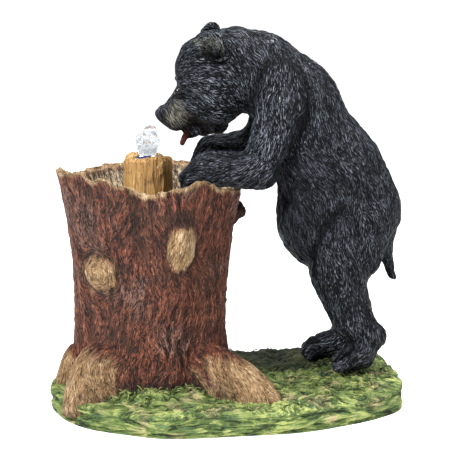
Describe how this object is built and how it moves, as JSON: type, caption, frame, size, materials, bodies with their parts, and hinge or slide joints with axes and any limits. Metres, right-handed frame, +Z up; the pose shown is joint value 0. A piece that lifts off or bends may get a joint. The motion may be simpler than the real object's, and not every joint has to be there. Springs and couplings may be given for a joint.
{
  "type": "bear garden fountain",
  "caption": "Garden fountain of a standing black bear that leans on a hollow tree-stump basin to drink, on a turf plinth.",
  "frame": {"origin": "middle of the turf plinth's flat underside, on the ground", "axes": "+Z up; the bear faces -X over the stump, and its left side is towards -Y"},
  "size_m": [0.5266, 0.3525, 0.5588],
  "materials": {
    "bear_resin": "painted cast resin fur, black with blue-grey dry brushing",
    "bark_resin": "painted cast resin bark, red-brown with ochre edges and roots",
    "turf_resin": "painted cast resin turf, mixed greens",
    "log_resin": "painted cast resin log, ochre and wet",
    "ring_plastic": "dark blue moulded ring with lights",
    "water": "clear bubbling water"
  },
  "bodies": {
    "root": {"bear": "bear_resin", "tree_stump": "bark_resin", "turf_base": "turf_resin", "spout_stump": "log_resin", "light_ring": "ring_plastic", "water_plume": "water"}
  },
  "joints": []
}
